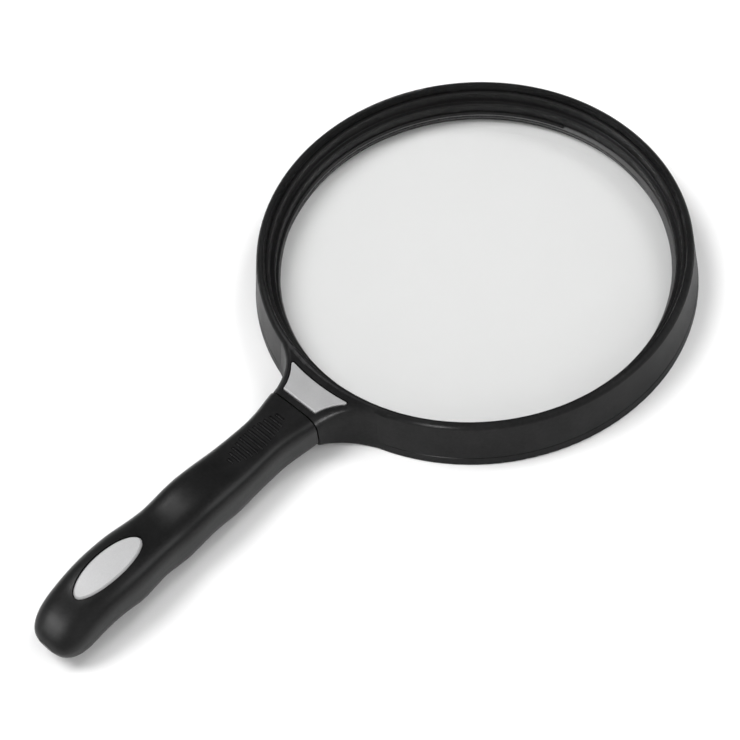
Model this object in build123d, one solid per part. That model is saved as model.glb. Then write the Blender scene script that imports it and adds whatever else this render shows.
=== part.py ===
from build123d import *
import math
import os

os.makedirs("parts", exist_ok=True)

# Hand magnifier, millimetres, +Z up, lying flat on the bottom rim of its lens ring.
# The origin is the middle of the footprint box on the resting plane. The handle
# points along -Y, the lens ring lies towards +Y. The part is mirror-symmetric about
# the YZ plane except for the open ends of the lens snap ring.
# "u" below is the distance from the lens axis along the handle (towards -Y).

# ---------------------------------------------------------------- driving dimensions
OVERALL_LENGTH = 270.6          # ring edge to handle tip
RING_OUTER_R = 75.0             # at the resting edge
RING_HEIGHT = 18.8
RING_DRAFT = 1.95 / 17.2        # outer wall leans in by this much per mm of height
RING_TOP_ROUND = 1.9            # rounding of the outer top edge
CREST_R = 70.75                 # inner edge of the ring's top land
FRAME_BORE_R = 70.2             # bore for the retaining ring
LENS_BORE_R = 69.15
SEAT_R = 66.4                   # opening of the lens seat
SEAT_Z = 5.4                    # top of the lens seat

LENS_R = 69.0                   # 138 mm lens
LENS_EDGE = 2.6                 # edge thickness
LENS_OPTIC_R = 65.6             # where the polished curve meets the ground rim
LENS_SAG = 4.5                  # height of each polished cap

RETAINER_R = 70.15
RETAINER_TOP_Z = 16.3
STEP1_R = 69.0                  # upper step of the retaining ring
STEP2_Z = 12.4
STEP2_R = 67.15                 # lower step of the retaining ring
SNAP_GROOVE_R = 68.7
SNAP_RING_R = 66.35             # inner radius of the C-shaped snap ring
SNAP_RING_H = 0.85
SNAP_RING_START = 105.0         # degrees, open end on the far right of the ring
SNAP_RING_END = 355.0

SEAM_U = 85.7                   # middle of the seam between frame and grip
SEAM_GAP = 0.4
TIP_U = OVERALL_LENGTH - RING_OUTER_R
SLEEVE_WALL_SIDE = 2.4
SLEEVE_WALL_TOP = 2.2
CORE_WALL = 1.8
CORE_PLAY = 0.05
CORE_START_U = 88.2
CORE_END_U = 190.0
SPLIT_Z = 11.8                  # joint face of the two core halves
TANG_HALF_W = 4.0
TANG_HALF_T = 2.5
TANG_END_U = 122.0
SCREW_U = (97.0, 116.0, 144.0, 184.5)
SCREW_SHANK_R = 1.1
SCREW_HEAD_R = 2.3
SCREW_HEAD_Z = 6.9
SCREW_HEAD_H = 1.6
SCREW_TIP_Z = 15.6
BOSS_R = 2.9

OVAL_U = 167.0                  # centre of the handle inlay
OVAL_HALF_L = 13.85
OVAL_HALF_W = 5.30
INLAY_GAP = 0.3
INLAY_BEVEL = 0.6
RIB_FIRST_U = 91.8              # thumb grooves, counted from the ring end
RIB_PITCH = 2.03
RIB_R = 0.62                    # radius of the groove's round bottom
RIB_DEPTH = 0.55
RIB_HALF = (1.6, 2.5, 3.1, 3.5, 3.8, 4.1, 4.1, 4.0, 3.5, 3.0, 2.3, 0.9)
NECK_INLAY_GAP = 0.38
NECK_INLAY_T = 1.9
NECK_INLAY_RISE = 0.3           # how far it stands above the ring's top land
PARTING_Z = 3.4                 # fine groove round the foot of the ring wall
PARTING_DEPTH = 0.2

YC = OVERALL_LENGTH / 2 - RING_OUTER_R   # lens axis in the row frame

# Grip outline: u, half width, top z, bottom z, squareness exponent of the section.
GRIP = [
    (85.9, 10.62, 19.00, 5.00, 4.2),
    (88.5, 10.20, 19.02, 4.70, 4.1),
    (93.5, 9.30, 19.10, 4.05, 3.8),
    (99.3, 8.70, 19.15, 3.75, 3.6),
    (105.2, 8.78, 19.20, 3.75, 3.5),
    (111.0, 9.08, 19.28, 3.70, 3.4),
    (116.9, 9.43, 19.65, 3.50, 3.4),
    (121.3, 9.70, 20.15, 3.45, 3.4),
    (126.0, 9.86, 20.62, 4.25, 3.4),
    (131.0, 9.93, 20.86, 4.85, 3.4),
    (136.5, 9.92, 20.56, 4.20, 3.4),
    (143.2, 9.80, 20.02, 3.25, 3.3),
    (148.5, 9.86, 20.22, 4.20, 3.3),
    (153.9, 10.25, 20.90, 5.30, 3.2),
    (158.5, 10.70, 21.38, 5.10, 3.2),
    (163.6, 10.94, 21.60, 4.60, 3.2),
    (168.5, 10.84, 21.58, 5.45, 3.2),
    (173.4, 10.60, 21.22, 5.90, 3.2),
    (178.0, 10.38, 20.55, 5.30, 3.1),
    (182.5, 10.22, 19.35, 4.25, 3.0),
    (186.5, 10.05, 17.55, 3.55, 2.9),
    (189.5, 9.55, 15.75, 3.70, 2.8),
    (192.0, 8.55, 13.85, 4.45, 2.7),
    (193.9, 7.05, 12.10, 5.55, 2.6),
    (195.0, 5.20, 10.65, 6.80, 2.5),
    (195.6, 3.00, 9.60, 7.90, 2.3),
]

# Plan of the neck's right side at the resting plane: (half width, u), from the seam to
# the point where it runs tangentially into the ring wall.
NECK_PLAN = [(11.10, 85.5), (11.62, 83.2), (12.60, 80.8), (14.26, 78.0), (16.52, 75.4),
             (19.45, 73.2), (23.30, 71.25)]
NECK_BLEND_W = 28.0
# Neck rows: u, bottom z, top rounding, bottom rounding, wall lean (mm per mm), tuck
# (how far the side is moved in, so that it dips under the ring wall at its end).
NECK = [
    (SEAM_U - SEAM_GAP / 2, 5.00, 4.4, 2.4, 0.051, 0.0),
    (84.3, 4.25, 4.2, 2.3, 0.055, 0.0),
    (83.1, 3.64, 4.0, 2.2, 0.060, 0.0),
    (81.8, 2.98, 3.7, 2.0, 0.067, 0.0),
    (80.4, 2.33, 3.4, 1.8, 0.075, 0.0),
    (79.0, 1.74, 3.1, 1.6, 0.084, 0.0),
    (77.6, 1.20, 2.8, 1.4, 0.093, 0.0),
    (76.2, 0.76, 2.5, 1.2, 0.102, 0.0),
    (74.9, 0.43, 2.25, 0.95, 0.109, 0.0),
    (73.6, 0.20, 2.05, 0.7, RING_DRAFT, 0.0),
    (72.4, 0.09, 1.93, 0.55, RING_DRAFT, 0.0),
    (71.3, 0.05, 1.9, 0.5, RING_DRAFT, 0.02),
    (70.3, 0.05, 1.9, 0.5, RING_DRAFT, 0.08),
    (69.4, 0.05, 1.9, 0.5, RING_DRAFT, 0.20),
    (68.6, 0.05, 1.9, 0.5, RING_DRAFT, 0.42),
    (67.6, 0.05, 1.9, 0.5, RING_DRAFT, 0.85),
]


# ---------------------------------------------------------------- helpers
def revolved(points, rounds):
    """Ring-shaped solid about the Z axis from (r, z) points; rounds: index -> radius."""
    face = make_face(Plane.XZ * Polyline(*[(r, z) for r, z in points], close=True)).face()
    for index, radius in rounds.items():
        r, z = points[index]
        near = min(face.vertices(), key=lambda v: (v.X - r) ** 2 + (v.Z - z) ** 2)
        face = face.fillet_2d(radius, [near])
    return revolve(face, axis=Axis.Z, revolution_arc=360)


def oval_section(u, half_w, z_top, z_bot, power, count=24):
    """Closed smooth section across the handle at distance u."""
    zc, c = (z_top + z_bot) / 2, (z_top - z_bot) / 2
    pts = []
    for i in range(count):
        t = 2 * math.pi * i / count
        ct, st = math.cos(t), math.sin(t)
        rho = (abs(ct) ** power + abs(st) ** power) ** (-1 / power)
        pts.append(Vector(half_w * rho * ct, -u, zc + c * rho * st))
    return Wire([Edge.make_spline(pts, periodic=True)])


def grip_values(u):
    """Half width, top z, bottom z and exponent of the grip at u (linear between rows)."""
    for a, b in zip(GRIP, GRIP[1:]):
        if a[0] <= u <= b[0]:
            k = (u - a[0]) / (b[0] - a[0])
            return tuple(a[i] + k * (b[i] - a[i]) for i in range(1, 5))
    return GRIP[0][1:] if u < GRIP[0][0] else GRIP[-1][1:]


def core_block(side, top, u0, u1):
    """Block with four long edges inside the grip outline, set in by side and top."""
    rows = [84.5] + [g[0] for g in GRIP if 86 < g[0] < 189] + [191.0]
    vals = [(u,) + grip_values(u) for u in rows]
    upper = [(-u, zt - top) for u, w, zt, zb, p in vals]
    lower = [(-u, zb + top) for u, w, zt, zb, p in vals][::-1]
    profile = Plane.YZ * make_face([Spline(*upper), Line(upper[-1], lower[0]),
                                    Spline(*lower), Line(lower[-1], upper[0])])
    right = [(w - side, -u) for u, w, zt, zb, p in vals]
    left = [(side - w, -u) for u, w, zt, zb, p in vals][::-1]
    plan = make_face([Spline(*right), Line(right[-1], left[0]),
                      Spline(*left), Line(left[-1], right[0])])
    block = extrude(profile, 20, both=True) & extrude(Pos(0, 0, -5) * plan, 40)
    return block & up_box(30, u0, u1, -20, 60)


def up_cylinder(x, u, z0, z1, r):
    return Pos(x, -u, (z0 + z1) / 2) * Cylinder(r, z1 - z0)


def up_box(half_x, u0, u1, z0, z1):
    return Pos(0, -(u0 + u1) / 2, (z0 + z1) / 2) * Box(2 * half_x, u1 - u0, z1 - z0)


def neck_plan_points():
    """Dense (w, u, normal w, normal u) along the neck side and on round the ring wall."""
    blend_u = math.sqrt(RING_OUTER_R ** 2 - NECK_BLEND_W ** 2)
    knots = NECK_PLAN + [(NECK_BLEND_W, blend_u)]
    first = (knots[1][0] - knots[0][0] - 0.1, knots[1][1] - knots[0][1])
    side = Spline(*knots, tangents=[first, (blend_u, -NECK_BLEND_W)])
    dense = []
    for i in range(241):
        p, t = side.position_at(i / 240), side.tangent_at(i / 240)
        dense.append((p.X, p.Y, -t.Y, t.X))
    start = math.atan2(NECK_BLEND_W, blend_u)
    for i in range(1, 60):
        a = start + i * 0.006
        dense.append((RING_OUTER_R * math.sin(a), RING_OUTER_R * math.cos(a), math.sin(a), math.cos(a)))
    return dense


def neck_half_width(dense, u, inset):
    """Half width at u of the neck plan moved inwards by inset."""
    moved = [(w - inset * nw, v - inset * nu) for w, v, nw, nu in dense]
    for (w0, v0), (w1, v1) in zip(moved, moved[1:]):
        if v1 <= u <= v0:
            k = (v0 - u) / (v0 - v1) if v0 > v1 else 0
            return w0 + k * (w1 - w0)
    return moved[0][0] + (moved[0][0] - moved[1][0]) / (moved[0][1] - moved[1][1]) * (u - moved[0][1])


def neck_section(dense, u, z_bot, top_r, low_r, lean, tuck):
    """Section of the neck: flat top and bottom, rounded corners, sides leaning in."""
    tilt = math.atan(lean)
    reach = math.sqrt(1 + lean ** 2)
    side = []
    zc = z_bot + low_r
    for i in range(6):
        a = -math.pi / 2 + (tilt + math.pi / 2) * i / 5
        side.append((lean * zc + low_r * (reach - math.cos(a)), zc + low_r * math.sin(a)))
    zt = RING_HEIGHT - top_r
    z0, z1 = side[-1][1], zt + top_r * math.sin(tilt)
    for k in (0.25, 0.5, 0.75):
        z = z0 + k * (z1 - z0)
        side.append((lean * z, z))
    for i in range(7):
        a = tilt + (math.pi / 2 - tilt) * i / 6
        side.append((lean * zt + top_r * (reach - math.cos(a)), zt + top_r * math.sin(a)))
    pts = [(neck_half_width(dense, u, inset + tuck), z) for inset, z in side]
    right = [Vector(w, -u, z) for w, z in pts]
    left = [Vector(-w, -u, z) for w, z in pts][::-1]
    return Wire([Edge.make_spline(right), Edge.make_line(right[-1], left[0]),
                 Edge.make_spline(left), Edge.make_line(left[-1], right[0])])


def oval_prism(grow, z0, z1):
    """Upright oval column around the handle inlay, grown by grow on every side."""
    halves = [EllipticalCenterArc((0, 0), OVAL_HALF_W + grow, OVAL_HALF_L + grow,
                                  start_angle=start, arc_size=180) for start in (90, 270)]
    return extrude(Pos(0, -OVAL_U, z0) * make_face(halves), z1 - z0)


# ---------------------------------------------------------------- lens ring of the frame
ring_points = [
    (70.4, 0.0),
    (RING_OUTER_R, 0.0),
    (RING_OUTER_R - RING_DRAFT * (PARTING_Z - 0.2), PARTING_Z - 0.2),
    (RING_OUTER_R - RING_DRAFT * PARTING_Z - PARTING_DEPTH, PARTING_Z),
    (RING_OUTER_R - RING_DRAFT * (PARTING_Z + 0.2), PARTING_Z + 0.2),
    (RING_OUTER_R - RING_DRAFT * RING_HEIGHT, RING_HEIGHT),
    (CREST_R, RING_HEIGHT),
    (FRAME_BORE_R, 17.3),
    (FRAME_BORE_R, 14.55),
    (FRAME_BORE_R + 0.3, 14.25),
    (FRAME_BORE_R + 0.3, 13.75),
    (FRAME_BORE_R, 13.45),
    (FRAME_BORE_R, SEAT_Z + LENS_EDGE),
    (LENS_BORE_R, SEAT_Z + LENS_EDGE),
    (LENS_BORE_R, SEAT_Z),
    (SEAT_R, SEAT_Z),
    (SEAT_R, 3.2),
    (67.3, 2.3),
]
ring = revolved(ring_points, {1: 0.5, 5: RING_TOP_ROUND, 6: 0.3, 0: 0.5})

# ---------------------------------------------------------------- neck and tang
plan_points = neck_plan_points()
neck = Solid.make_loft([neck_section(plan_points, *row) for row in NECK])
# The neck blends into the ring wall and stops short of the bore.
bore_core = Cylinder(72.4, 60)
neck = neck - bore_core

spigot = core_block(SLEEVE_WALL_SIDE + CORE_PLAY, SLEEVE_WALL_TOP + CORE_PLAY,
                    SEAM_U - SEAM_GAP / 2 - 0.8, CORE_START_U - 0.1)
tang = up_box(TANG_HALF_W, CORE_START_U - 1.0, TANG_END_U, SPLIT_Z - TANG_HALF_T, SPLIT_Z + TANG_HALF_T)
tang = fillet(tang.edges().filter_by(Axis.Z).sort_by(Axis.Y)[:2], 2.0)
for u in SCREW_U[:2]:
    tang = tang - up_cylinder(0, u, 0, 25, SCREW_SHANK_R + 0.2)

frame = ring + neck + spigot + tang



def inlay_face(grow):
    """Neck inlay outline: arc round the ring, hollow sides, straight lower edge."""
    top_r = 74.35
    corner = (13.6, -math.sqrt(top_r ** 2 - 13.6 ** 2))
    side = (9.15, -78.3)
    low = (7.25, -83.05)
    edges = [
        ThreePointArc((-corner[0], corner[1]), (0, -top_r), corner),
        ThreePointArc(corner, side, low),
        Line(low, (-low[0], low[1])),
        ThreePointArc((-low[0], low[1]), (-side[0], side[1]), (-corner[0], corner[1])),
    ]
    face = make_face(edges)
    ups = [v for v in face.vertices() if v.Y > -75]
    face = fillet(ups, 0.55)
    lows = [v for v in face.vertices() if v.Y < -82]
    face = fillet(lows, 0.35)
    if grow:
        face = offset(face, grow)
    return face


# Pocket for the neck inlay.
pocket_floor = RING_HEIGHT + NECK_INLAY_RISE - NECK_INLAY_T
pocket = extrude(Pos(0, 0, pocket_floor) * inlay_face(NECK_INLAY_GAP), 5)
frame = frame - pocket
PEGS = [(-5.4, 76.6), (5.4, 76.6), (0, 80.8)]
for x, u in PEGS:
    frame = frame - up_cylinder(x, u, pocket_floor - 4.2, pocket_floor + 0.1, 1.25)

# ---------------------------------------------------------------- neck inlay
neck_inlay = extrude(Pos(0, 0, pocket_floor) * inlay_face(0), NECK_INLAY_T)
top_edges = neck_inlay.faces().sort_by(Axis.Z)[-1].edges()
neck_inlay = fillet(top_edges, 0.5)
for x, u in PEGS:
    neck_inlay = neck_inlay + up_cylinder(x, u, pocket_floor - 4.0, pocket_floor, 1.2)

# ---------------------------------------------------------------- lens
sphere_r = (LENS_OPTIC_R ** 2 + LENS_SAG ** 2) / (2 * LENS_SAG)
lens_low, lens_high = SEAT_Z, SEAT_Z + LENS_EDGE
lens_wire = [
    Line((0, lens_low - LENS_SAG), (0, lens_high + LENS_SAG)),
    ThreePointArc((0, lens_high + LENS_SAG),
                  (LENS_OPTIC_R / 2, lens_high + LENS_SAG - sphere_r
                   + math.sqrt(sphere_r ** 2 - (LENS_OPTIC_R / 2) ** 2)),
                  (LENS_OPTIC_R, lens_high)),
    Line((LENS_OPTIC_R, lens_high), (LENS_R - 0.2, lens_high)),
    Line((LENS_R - 0.2, lens_high), (LENS_R, lens_high - 0.2)),
    Line((LENS_R, lens_high - 0.2), (LENS_R, lens_low + 0.2)),
    Line((LENS_R, lens_low + 0.2), (LENS_R - 0.2, lens_low)),
    Line((LENS_R - 0.2, lens_low), (LENS_OPTIC_R, lens_low)),
    ThreePointArc((LENS_OPTIC_R, lens_low),
                  (LENS_OPTIC_R / 2, lens_low - LENS_SAG + sphere_r
                   - math.sqrt(sphere_r ** 2 - (LENS_OPTIC_R / 2) ** 2)),
                  (0, lens_low - LENS_SAG)),
]
lens = revolve(Plane.XZ * make_face(lens_wire), axis=Axis.Z, revolution_arc=360)

# ---------------------------------------------------------------- retaining ring
retainer_points = [
    (RETAINER_R, lens_high),
    (RETAINER_R, 13.5),
    (RETAINER_R + 0.28, 13.8),
    (RETAINER_R + 0.28, 14.2),
    (RETAINER_R, 14.5),
    (RETAINER_R, RETAINER_TOP_Z),
    (STEP1_R, RETAINER_TOP_Z),
    (STEP1_R - 0.15, STEP2_Z),
    (STEP2_R, STEP2_Z),
    (STEP2_R, lens_high + SNAP_RING_H + 0.05),
    (SNAP_GROOVE_R, lens_high + SNAP_RING_H + 0.05),
    (SNAP_GROOVE_R, lens_high),
]
retainer = revolved(retainer_points, {6: 0.45, 7: 0.3, 8: 0.45})

# ---------------------------------------------------------------- snap ring
snap_points = [
    (SNAP_RING_R, lens_high),
    (SNAP_GROOVE_R - 0.1, lens_high),
    (SNAP_GROOVE_R - 0.1, lens_high + SNAP_RING_H),
    (SNAP_RING_R + 0.35, lens_high + SNAP_RING_H),
    (SNAP_RING_R, lens_high + SNAP_RING_H - 0.35),
]
snap_face = make_face(Plane.XZ * Polyline(*snap_points, close=True))
snap_ring = Rot(0, 0, SNAP_RING_START) * revolve(snap_face, axis=Axis.Z,
                                                revolution_arc=SNAP_RING_END - SNAP_RING_START)

# ---------------------------------------------------------------- handle core
core_outer = core_block(SLEEVE_WALL_SIDE + CORE_PLAY, SLEEVE_WALL_TOP + CORE_PLAY,
                        CORE_START_U, CORE_END_U)
core_inner = core_block(SLEEVE_WALL_SIDE + CORE_WALL, SLEEVE_WALL_TOP + CORE_WALL,
                        CORE_START_U + 1.2, CORE_END_U - 2.2)
core = core_outer - core_inner
tang_room = up_box(TANG_HALF_W + 0.1, CORE_START_U - 1, TANG_END_U + 0.2,
                   SPLIT_Z - TANG_HALF_T, SPLIT_Z + TANG_HALF_T)
for u in SCREW_U:
    core = core + (up_cylinder(0, u, 0, 30, BOSS_R) & core_outer)
INLAY_PEGS = (159.5, 176.0)
peg_boss_floor = 13.2
for u in INLAY_PEGS:
    core = core + (up_cylinder(0, u, peg_boss_floor, 30, BOSS_R) & core_outer)
core = core - tang_room
for u in SCREW_U:
    core = core - up_cylinder(0, u, SCREW_HEAD_Z + SCREW_HEAD_H, SPLIT_Z, SCREW_SHANK_R + 0.2)
    core = core - up_cylinder(0, u, SPLIT_Z - 0.1, SCREW_TIP_Z + 0.3, SCREW_SHANK_R)
    core = core - up_cylinder(0, u, -5, SCREW_HEAD_Z + SCREW_HEAD_H, SCREW_HEAD_R + 0.2)
for u in INLAY_PEGS:
    core = core - up_cylinder(0, u, peg_boss_floor + 0.8, 30, 1.55)
upper_half = core & up_box(30, 80, 200, SPLIT_Z, 40)
lower_half = core & up_box(30, 80, 200, -20, SPLIT_Z)

# ---------------------------------------------------------------- core screws
screws = []
for u in SCREW_U:
    screw = up_cylinder(0, u, SCREW_HEAD_Z, SCREW_HEAD_Z + SCREW_HEAD_H, SCREW_HEAD_R)
    screw = screw + up_cylinder(0, u, SCREW_HEAD_Z + SCREW_HEAD_H, SCREW_TIP_Z, SCREW_SHANK_R - 0.01)
    slot = up_box(0.35, u - 1.3, u + 1.3, SCREW_HEAD_Z, SCREW_HEAD_Z + 0.9)
    slot = slot + Pos(0, -u, SCREW_HEAD_Z + 0.45) * Box(2.6, 0.7, 0.9)
    screws.append(screw - slot)
screws = Compound([s.solids()[0] for s in screws])

# ---------------------------------------------------------------- grip sleeve
grip_outer = Solid.make_loft([oval_section(*row) for row in GRIP])
mouth = grip_outer.edges().sort_by(Axis.Y)[-1]
grip_body = grip_outer.fillet(0.35, [mouth])
grip_hollow = core_block(SLEEVE_WALL_SIDE, SLEEVE_WALL_TOP, GRIP[0][0] - 0.5, CORE_END_U + 0.1)
# Thumb grooves: round-bottomed cross grooves in an elongated oval patch on the top.
grooves = []
for i, half in enumerate(RIB_HALF):
    u = RIB_FIRST_U + i * RIB_PITCH
    z = grip_values(u)[1] + RIB_R - RIB_DEPTH
    groove = Pos(0, -u, z) * Rot(0, 90, 0) * Cylinder(RIB_R, 2 * half + 0.8)
    grooves.append(chamfer(groove.edges().filter_by(GeomType.CIRCLE), 0.4))
sleeve = grip_body - grip_hollow
sleeve = sleeve - oval_prism(INLAY_GAP, 15.0, 30.0)
sleeve = sleeve - grooves[0::2]
sleeve = sleeve - grooves[1::2]

# ---------------------------------------------------------------- oval inlay
oval_inlay = (grip_outer & oval_prism(0, 15.0, 30.0)) - grip_hollow
oval_inlay = max(oval_inlay.solids(), key=lambda s: s.volume)
rim = oval_inlay.faces().sort_by(Axis.Z)[-1]
oval_inlay = chamfer(rim.edges(), INLAY_BEVEL)
for u in INLAY_PEGS:
    z_low = grip_values(u)[1] - 1.0
    oval_inlay = oval_inlay + up_cylinder(0, u, peg_boss_floor + 1.0, z_low, 1.5)

# ---------------------------------------------------------------- write every piece
NODES = {
    "frame": frame,
    "lens": lens,
    "lens_retaining_ring": retainer,
    "lens_snap_ring": snap_ring,
    "neck_inlay": neck_inlay,
    "handle_core_upper": upper_half,
    "handle_core_lower": lower_half,
    "core_screws": screws,
    "grip_sleeve": sleeve,
    "handle_inlay": oval_inlay,
}

for name, shape in NODES.items():
    placed = Pos(0, YC, 0) * shape
    export_step(placed, "parts/" + name + ".step")
    box = placed.bounding_box()
    print(name, "solids", len(placed.solids()), "volume", round(placed.volume, 1),
          "box", [round(v, 2) for v in (*box.min, *box.max)])
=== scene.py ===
import math

import bpy
from mathutils import Matrix, Vector


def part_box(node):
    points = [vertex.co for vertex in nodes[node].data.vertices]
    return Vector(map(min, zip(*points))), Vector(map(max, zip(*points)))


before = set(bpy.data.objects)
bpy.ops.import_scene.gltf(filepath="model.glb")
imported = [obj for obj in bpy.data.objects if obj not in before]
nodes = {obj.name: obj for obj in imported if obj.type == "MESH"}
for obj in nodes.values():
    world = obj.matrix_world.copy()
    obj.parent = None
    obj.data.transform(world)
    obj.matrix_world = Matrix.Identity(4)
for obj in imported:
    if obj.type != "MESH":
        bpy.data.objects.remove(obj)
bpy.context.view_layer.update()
scene = bpy.context.scene

# ------------------------------------------------------------------ shared measures, metres
lens_lo, lens_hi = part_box("lens")
frame_lo, frame_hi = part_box("frame")
YC = (lens_lo.y + lens_hi.y) / 2          # lens axis
RING_TOP = frame_hi.z
AZ = math.radians(49.5)                   # the view's azimuth about the lens axis
TURN = Matrix.Rotation(AZ, 3, "Z")

# light levels, as the brightness each gives the white floor
KEY_LEVEL = 0.60
HIGH_LEVEL = 0.06
RIGHT_LEVEL = 0.17
FRONT_LEVEL = 0.15
SIDE_LEVEL = 0.14
TIP_LEVEL = 0.10
TOP_LEVEL = 0.21
NECK_RADIANCE = 43.0
WORLD_BASE = 0.26
WORLD_FRONT = 0.45
WORLD_DARK = 0.78


def from_view(x, y, z):
    """Direction given as right, away and up of the viewer, turned into the row frame."""
    return TURN @ Vector((x, y, z))


# ------------------------------------------------------------------ camera
elev = math.radians(54.79)
roll = math.radians(-6.90)
fwd = Vector((0, math.cos(elev), -math.sin(elev)))
right = Vector((1, 0, 0))
up = Vector((0, math.sin(elev), math.cos(elev)))
cam_right = TURN @ (right * math.cos(roll) + up * math.sin(roll))
cam_up = TURN @ (up * math.cos(roll) - right * math.sin(roll))
cam_fwd = TURN @ fwd
cam_data = bpy.data.cameras.new("view_camera")
cam_data.sensor_width = 36.0
cam_data.lens = 2600.0 / 740.0 * 36.0
cam_data.clip_start = 0.01
cam_data.clip_end = 50.0
camera = bpy.data.objects.new("view_camera", cam_data)
scene.collection.objects.link(camera)
spot = TURN @ Vector((-0.039336, -0.529634, 0.686358)) + Vector((0, YC, RING_TOP))
pose = Matrix.Identity(4)
for row in range(3):
    pose[row][0] = cam_right[row]
    pose[row][1] = cam_up[row]
    pose[row][2] = -cam_fwd[row]
    pose[row][3] = spot[row]
camera.matrix_world = pose
scene.camera = camera


# ------------------------------------------------------------------ node helpers
def new_material(name):
    mat = bpy.data.materials.new(name)
    mat.use_nodes = True
    tree = mat.node_tree
    tree.nodes.clear()
    return mat, tree


class Maker:
    def __init__(self, tree):
        self.t = tree

    def node(self, kind, **values):
        n = self.t.nodes.new(kind)
        for k, v in values.items():
            setattr(n, k, v)
        return n

    def link(self, a, b):
        self.t.links.new(a, b)

    def value(self, socket, v):
        if hasattr(v, "is_linked") or hasattr(v, "links"):
            self.link(v, socket)
        else:
            socket.default_value = v

    def math(self, op, a, b=None, c=None, clamp=False):
        n = self.node("ShaderNodeMath", operation=op, use_clamp=clamp)
        for s, v in zip(n.inputs, (a, b, c)):
            if v is not None:
                self.value(s, v)
        return n.outputs[0]

    def noise(self, vector, scale, detail=2.0, rough=0.5, distortion=0.0):
        n = self.node("ShaderNodeTexNoise")
        self.link(vector, n.inputs["Vector"])
        n.inputs["Scale"].default_value = scale
        n.inputs["Detail"].default_value = detail
        n.inputs["Roughness"].default_value = rough
        n.inputs["Distortion"].default_value = distortion
        return n.outputs["Fac"]

    def voronoi(self, vector, scale, feature="F1"):
        n = self.node("ShaderNodeTexVoronoi", feature=feature)
        self.link(vector, n.inputs["Vector"])
        n.inputs["Scale"].default_value = scale
        return n

    def ramp(self, fac, stops):
        n = self.node("ShaderNodeValToRGB")
        self.link(fac, n.inputs["Fac"])
        e = n.color_ramp.elements
        while len(e) < len(stops):
            e.new(0.5)
        for el, (p, c) in zip(e, stops):
            el.position = p
            el.color = c if len(c) == 4 else (*c, 1)
        return n.outputs["Color"]

    def map(self, v, a, b, c, d):
        n = self.node("ShaderNodeMapRange")
        self.link(v, n.inputs["Value"])
        for k, x in zip(("From Min", "From Max", "To Min", "To Max"), (a, b, c, d)):
            n.inputs[k].default_value = x
        return n.outputs["Result"]

    def bump(self, height, strength, distance, normal=None):
        n = self.node("ShaderNodeBump")
        n.inputs["Strength"].default_value = strength
        n.inputs["Distance"].default_value = distance
        self.link(height, n.inputs["Height"])
        if normal is not None:
            self.link(normal, n.inputs["Normal"])
        return n.outputs["Normal"]

    def coords(self):
        return self.node("ShaderNodeTexCoord").outputs["Object"]


def moulded_plastic(name, shade, rough, grain_scale, grain_height, spec=0.4, tint=(1, 1, 1.02), wave=0.05, groove_shade_span=None):
    """Black moulded plastic: spark-eroded grain, faint flow mottling, handling smudges in the gloss."""
    mat, tree = new_material(name)
    m = Maker(tree)
    at = m.coords()
    out = m.node("ShaderNodeOutputMaterial")
    p = m.node("ShaderNodeBsdfPrincipled")
    m.link(p.outputs[0], out.inputs["Surface"])
    mottle = m.noise(at, 90, 4, 0.6)
    fine = m.noise(at, grain_scale * 0.45, 2, 0.6)
    both = m.math("ADD", m.math("MULTIPLY", mottle, 0.6), m.math("MULTIPLY", fine, 0.4))
    lo = tuple(shade * 0.6 * c for c in tint)
    hi = tuple(shade * 1.6 * c for c in tint)
    m.link(m.ramp(both, [(0.3, lo), (0.7, hi)]), p.inputs["Base Color"])
    smudge = m.noise(at, 28, 5, 0.62, 0.6)
    r1 = m.map(smudge, 0.3, 0.7, rough - 0.045, rough + 0.045)
    r2 = m.math("ADD", r1, m.map(fine, 0.3, 0.7, -0.02, 0.02))
    m.link(r2, p.inputs["Roughness"])
    p.inputs["Specular IOR Level"].default_value = spec
    if groove_shade_span:
        # painted shade: the specular level is dropped nearly to nothing on the walls of each cross groove,
        # picked out by their steep normals within the groove field, so they read dark as if shaded
        near, far = groove_shade_span
        slope = m.node("ShaderNodeSeparateXYZ")
        m.link(m.node("ShaderNodeTexCoord").outputs["Normal"], slope.inputs[0])
        place = m.node("ShaderNodeSeparateXYZ")
        m.link(at, place.inputs[0])
        wall = m.map(m.math("ABSOLUTE", slope.outputs[1]), 0.12, 0.3, 0.0, 1.0)
        inside = m.math("MULTIPLY", m.math("LESS_THAN", place.outputs[1], near), m.math("GREATER_THAN", place.outputs[1], far))
        centre = m.math("LESS_THAN", m.math("ABSOLUTE", place.outputs[0]), 0.0052)
        above = m.math("GREATER_THAN", place.outputs[2], 0.0175)
        groove_shade_mask = m.math("MULTIPLY", m.math("MULTIPLY", wall, inside), m.math("MULTIPLY", centre, above))
        m.link(m.map(groove_shade_mask, 0.0, 1.0, spec, 0.03), p.inputs["Specular IOR Level"])
    grain = m.voronoi(at, grain_scale).outputs["Distance"]
    grain2 = m.noise(at, grain_scale * 1.7, 3, 0.6)
    height = m.math("ADD", m.math("MULTIPLY", grain, 0.5), m.math("MULTIPLY", grain2, 0.5))
    n1 = m.bump(height, 0.35, grain_height)
    n2 = m.bump(m.noise(at, 55, 3, 0.5), wave, 0.0004, n1)
    m.link(n2, p.inputs["Normal"])
    return mat


frame_plastic = moulded_plastic("frame_plastic", 0.009, 0.36, 1900, 0.00005, spec=0.10, wave=0.02)
ring_plastic = moulded_plastic("retaining_ring_plastic", 0.006, 0.40, 3000, 0.000006, spec=0.34, wave=0.0)
snap_plastic = moulded_plastic("snap_ring_plastic", 0.008, 0.34, 3000, 0.00002, spec=0.3, wave=0.0)
core_plastic = moulded_plastic("core_plastic", 0.03, 0.5, 2400, 0.00003, spec=0.4)
# the grip rubber carries painted shade on the walls of its cross groove field
grip_rubber = moulded_plastic("grip_rubber", 0.006, 0.33, 2400, 0.00005, spec=0.26,
                              groove_shade_span=(YC - 0.0905, YC - 0.1156))


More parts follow.
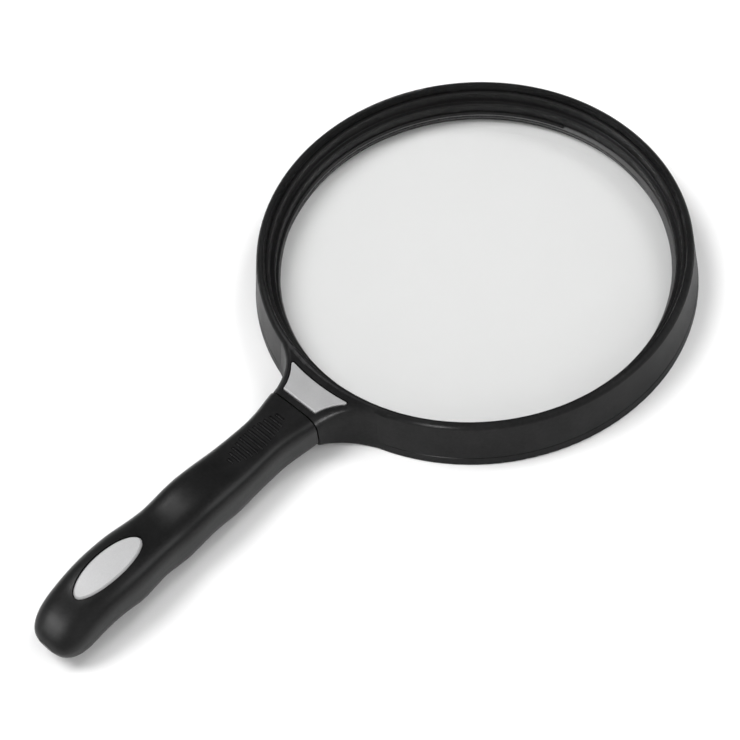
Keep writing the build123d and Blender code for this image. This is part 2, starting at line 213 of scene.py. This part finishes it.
def silver(name, level, rough):
    """Silver lacquer: fine flake sparkle and slight clouding over a light grey base; level scales the base,
    which sets painted shade between the inlays.
    """
    mat, tree = new_material(name)
    m = Maker(tree)
    at = m.coords()
    out = m.node("ShaderNodeOutputMaterial")
    p = m.node("ShaderNodeBsdfPrincipled")
    m.link(p.outputs[0], out.inputs["Surface"])
    cloud = m.noise(at, 160, 3, 0.55)
    flake = m.voronoi(at, 7000)
    grey = m.node("ShaderNodeRGBToBW")
    m.link(flake.outputs["Color"], grey.inputs[0])
    mix = m.math("ADD", m.math("MULTIPLY", cloud, 0.5), m.math("MULTIPLY", grey.outputs[0], 0.5))
    m.link(m.ramp(mix, [(0.2, (0.52 * level, 0.52 * level, 0.525 * level)), (0.8, (0.62 * level, 0.62 * level, 0.625 * level))]), p.inputs["Base Color"])
    p.inputs["Metallic"].default_value = 0.1
    m.link(m.map(cloud, 0.3, 0.7, rough - 0.05, rough + 0.05), p.inputs["Roughness"])
    n1 = m.bump(grey.outputs[0], 0.12, 0.00002)
    n2 = m.bump(m.noise(at, 900, 2, 0.5), 0.06, 0.00005, n1)
    m.link(n2, p.inputs["Normal"])
    p.inputs["Coat Weight"].default_value = 0.1
    p.inputs["Coat Roughness"].default_value = 0.3
    return mat


# painted shade: one lacquer at two base levels, darker on the neck inlay than on the oval, for how differently
# the two face the light
neck_silver_painted_shade = silver("silver_lacquer_neck_painted_shade", 0.63, 0.36)
oval_silver = silver("silver_lacquer_oval", 0.81, 0.55)


def screw_steel():
    mat, tree = new_material("screw_steel")
    m = Maker(tree)
    at = m.coords()
    out = m.node("ShaderNodeOutputMaterial")
    p = m.node("ShaderNodeBsdfPrincipled")
    m.link(p.outputs[0], out.inputs["Surface"])
    n = m.noise(at, 1500, 4, 0.6)
    m.link(m.ramp(n, [(0.3, (0.45, 0.45, 0.47)), (0.7, (0.6, 0.6, 0.61))]), p.inputs["Base Color"])
    p.inputs["Metallic"].default_value = 1.0
    m.link(m.map(n, 0.3, 0.7, 0.28, 0.42), p.inputs["Roughness"])
    m.link(m.bump(n, 0.1, 0.00002), p.inputs["Normal"])
    return mat


steel = screw_steel()


def lens_glass(optic_r):
    """Clear polished glass with a ground, frosted rim outside the optic radius."""
    mat, tree = new_material("lens_glass")
    m = Maker(tree)
    at = m.coords()
    out = m.node("ShaderNodeOutputMaterial")
    sep = m.node("ShaderNodeSeparateXYZ")
    m.link(at, sep.inputs[0])
    y = m.math("SUBTRACT", sep.outputs[1], YC)
    r2 = m.math("ADD", m.math("MULTIPLY", sep.outputs[0], sep.outputs[0]), m.math("MULTIPLY", y, y))
    r = m.math("SQRT", r2)
    wobble = m.map(m.noise(at, 260, 2, 0.5), 0.3, 0.7, -0.00006, 0.00006)
    edge = m.math("GREATER_THAN", m.math("ADD", r, wobble), optic_r)
    glass = m.node("ShaderNodeBsdfGlass")
    glass.inputs["IOR"].default_value = 1.52
    glass.inputs["Color"].default_value = (0.940, 0.941, 0.940, 1)
    smear = m.noise(at, 34, 4, 0.6, 0.8)
    m.link(m.map(smear, 0.45, 0.75, 0.0, 0.012), glass.inputs["Roughness"])
    ground = m.node("ShaderNodeBsdfPrincipled")
    speck = m.noise(at, 2400, 3, 0.6)
    m.link(m.ramp(speck, [(0.3, (0.085, 0.085, 0.085)), (0.7, (0.14, 0.14, 0.14))]), ground.inputs["Base Color"])
    m.link(m.map(speck, 0.3, 0.7, 0.5, 0.7), ground.inputs["Roughness"])
    m.link(m.bump(speck, 0.4, 0.00004), ground.inputs["Normal"])
    surface = m.node("ShaderNodeMixShader")
    m.link(edge, surface.inputs[0])
    m.link(glass.outputs[0], surface.inputs[1])
    m.link(ground.outputs[0], surface.inputs[2])
    clear = m.node("ShaderNodeBsdfTransparent")
    clear.inputs["Color"].default_value = (0.910, 0.911, 0.910, 1)
    path = m.node("ShaderNodeLightPath")
    last = m.node("ShaderNodeMixShader")
    through = m.math("MAXIMUM", path.outputs["Is Shadow Ray"], path.outputs["Is Diffuse Ray"])
    m.link(through, last.inputs[0])
    m.link(surface.outputs[0], last.inputs[1])
    m.link(clear.outputs[0], last.inputs[2])
    m.link(last.outputs[0], out.inputs["Surface"])
    return mat


glass_mat = lens_glass(0.0659)


def paint(obj, mat):
    obj.data.materials.clear()
    obj.data.materials.append(mat)
    for poly in obj.data.polygons:
        poly.material_index = 0


for name, mat in {
    "frame": frame_plastic,
    "lens": glass_mat,
    "lens_retaining_ring": ring_plastic,
    "lens_snap_ring": snap_plastic,
    "neck_inlay": neck_silver_painted_shade,
    "handle_core_upper": core_plastic,
    "handle_core_lower": core_plastic,
    "core_screws": steel,
    "grip_sleeve": grip_rubber,
    "handle_inlay": oval_silver,
}.items():
    paint(nodes[name], mat)

# ------------------------------------------------------------------ floor
mesh = bpy.data.meshes.new("floor")
s = 6.0
mesh.from_pydata([(-s, -s, 0), (s, -s, 0), (s, s, 0), (-s, s, 0)], [], [(0, 1, 2, 3)])
floor = bpy.data.objects.new("floor", mesh)
floor.location = (0, 0, -0.00005)
scene.collection.objects.link(floor)
mat, tree = new_material("floor_white")
m = Maker(tree)
out = m.node("ShaderNodeOutputMaterial")
d = m.node("ShaderNodeBsdfDiffuse")
m.link(m.ramp(m.noise(m.coords(), 40, 3, 0.5), [(0.3, (0.915, 0.915, 0.915)), (0.7, (0.925, 0.925, 0.925))]), d.inputs["Color"])
m.link(d.outputs[0], out.inputs["Surface"])
floor.data.materials.append(mat)

# ------------------------------------------------------------------ light
world = bpy.data.worlds.new("studio")
scene.world = world
world.use_nodes = True
wt = world.node_tree
wt.nodes.clear()
m = Maker(wt)
wout = m.node("ShaderNodeOutputWorld")
back = m.node("ShaderNodeBackground")
way = m.node("ShaderNodeTexCoord").outputs["Generated"]


def lobe(direction, inner, outer):
    """1 within inner degrees of the direction, 0 beyond outer degrees."""
    dot = m.node("ShaderNodeVectorMath", operation="DOT_PRODUCT")
    m.link(way, dot.inputs[0])
    dot.inputs[1].default_value = direction.normalized()
    n = m.node("ShaderNodeMapRange", interpolation_type="SMOOTHSTEP")
    m.link(dot.outputs["Value"], n.inputs["Value"])
    n.inputs["From Min"].default_value = math.cos(math.radians(outer))
    n.inputs["From Max"].default_value = math.cos(math.radians(inner))
    return n.outputs["Result"]


ambient = m.math("ADD", WORLD_BASE, m.math("MULTIPLY", lobe(from_view(0.1, -0.8, 0.65), 15, 55), WORLD_FRONT))
dark = m.math("SUBTRACT", 1.0, m.math("MULTIPLY", lobe(from_view(0, 0.577, 0.817), 14, 42), WORLD_DARK))
m.link(m.math("MULTIPLY", ambient, dark), back.inputs["Strength"])
m.link(back.outputs[0], wout.inputs["Surface"])
back.inputs["Color"].default_value = (1, 1, 1, 1)


def area_light(name, direction, distance, half_angle, level):
    """Round soft light; level is the brightness it alone gives the white floor."""
    direction = direction.normalized()
    data = bpy.data.lights.new(name, "AREA")
    data.shape = "DISK"
    data.size = 2 * distance * math.tan(math.radians(half_angle))
    data.energy = level * math.pi ** 2 * distance ** 2 / (0.91 * direction.z)
    obj = bpy.data.objects.new(name, data)
    obj.location = Vector((0, 0.02, 0.01)) + direction * distance
    obj.rotation_mode = "QUATERNION"
    obj.rotation_quaternion = (-direction).to_track_quat("-Z", "Y")
    scene.collection.objects.link(obj)
    return obj


# four large lights that only light the scene and are never seen in a reflection
for name, direction, spread, level in (
        ("key", from_view(-1.02, 0.20, 2.0), 15.0, KEY_LEVEL),
        ("high", from_view(0.0, 0.0, 1.0), 16.0, HIGH_LEVEL),
        ("right", from_view(0.50, 0.30, 0.82), 9.0, RIGHT_LEVEL),
        ("front", from_view(0.40, -0.50, 0.77), 20.0, FRONT_LEVEL)):
    lamp = area_light(name, direction, 4.0, spread, level)
    lamp.visible_glossy = False
    lamp.visible_transmission = False
# three small lights that only show as soft highlights
for name, direction, spread, level in (
        ("side_glint", from_view(0.85, -0.2, 0.75), 18.0, SIDE_LEVEL),
        ("tip_glint", from_view(-0.87, -0.12, 0.46), 6.0, TIP_LEVEL),
        ("top_glint", from_view(-0.40, 0.38, 0.84), 5.0, TOP_LEVEL)):
    glint = area_light(name, direction, 4.0, spread, level)
    glint.visible_diffuse = False
    glint.visible_transmission = False
# a small close light beside the neck, for the highlight in the hollow next to the seam
data = bpy.data.lights.new("neck_glint", "AREA")
data.shape = "DISK"
data.size = 0.016
data.energy = NECK_RADIANCE * math.pi * math.pi * 0.008 ** 2
near = bpy.data.objects.new("neck_glint", data)
toward = from_view(0.482, -0.832, 0.274).normalized()
near.location = Vector((0.01022, -0.02139, 0.01738)) + toward * 0.045
near.rotation_mode = "QUATERNION"
near.rotation_quaternion = (-toward).to_track_quat("-Z", "Y")
scene.collection.objects.link(near)
near.visible_camera = False
near.visible_diffuse = False
near.visible_transmission = False
only = bpy.data.collections.new("neck_glint_receivers")
only.objects.link(nodes["frame"])
near.light_linking.receiver_collection = only

scene.view_settings.view_transform = "Standard"
scene.view_settings.look = "None"
scene.view_settings.exposure = 0.0
scene.view_settings.gamma = 1.0
